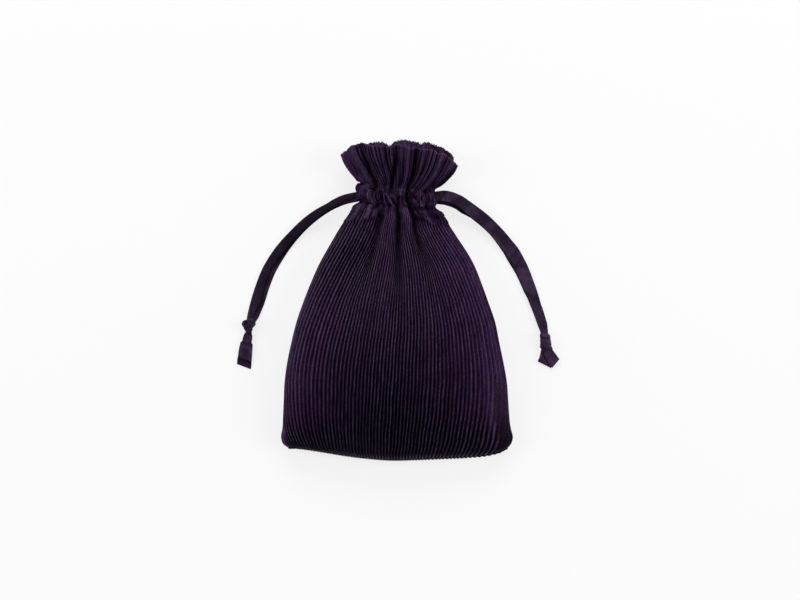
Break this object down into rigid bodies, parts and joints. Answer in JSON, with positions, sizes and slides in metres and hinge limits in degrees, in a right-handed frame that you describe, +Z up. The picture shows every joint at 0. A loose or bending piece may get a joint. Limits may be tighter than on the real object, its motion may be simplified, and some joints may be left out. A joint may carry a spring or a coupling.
{
  "type": "pleated drawstring bag",
  "caption": "Soft satin pouch in fine vertical pleats, laid on its back, with a gathered casing, a ruffled open mouth and a knotted ribbon drawstring at each side.",
  "frame": {"origin": "on the surface under the middle of the pleated body", "axes": "+Y from the bottom seam towards the mouth, +Z up from the surface, +X to the right as seen from above"},
  "size_m": [0.2564, 0.256, 0.0446],
  "materials": {
    "pleated_satin": "dark aubergine satin",
    "ribbon": "dark aubergine satin ribbon"
  },
  "bodies": {
    "root": {"pleated_body": "pleated_satin", "drawstring_left": "ribbon", "drawstring_right": "ribbon", "knot_left": "ribbon", "knot_right": "ribbon"}
  },
  "joints": []
}
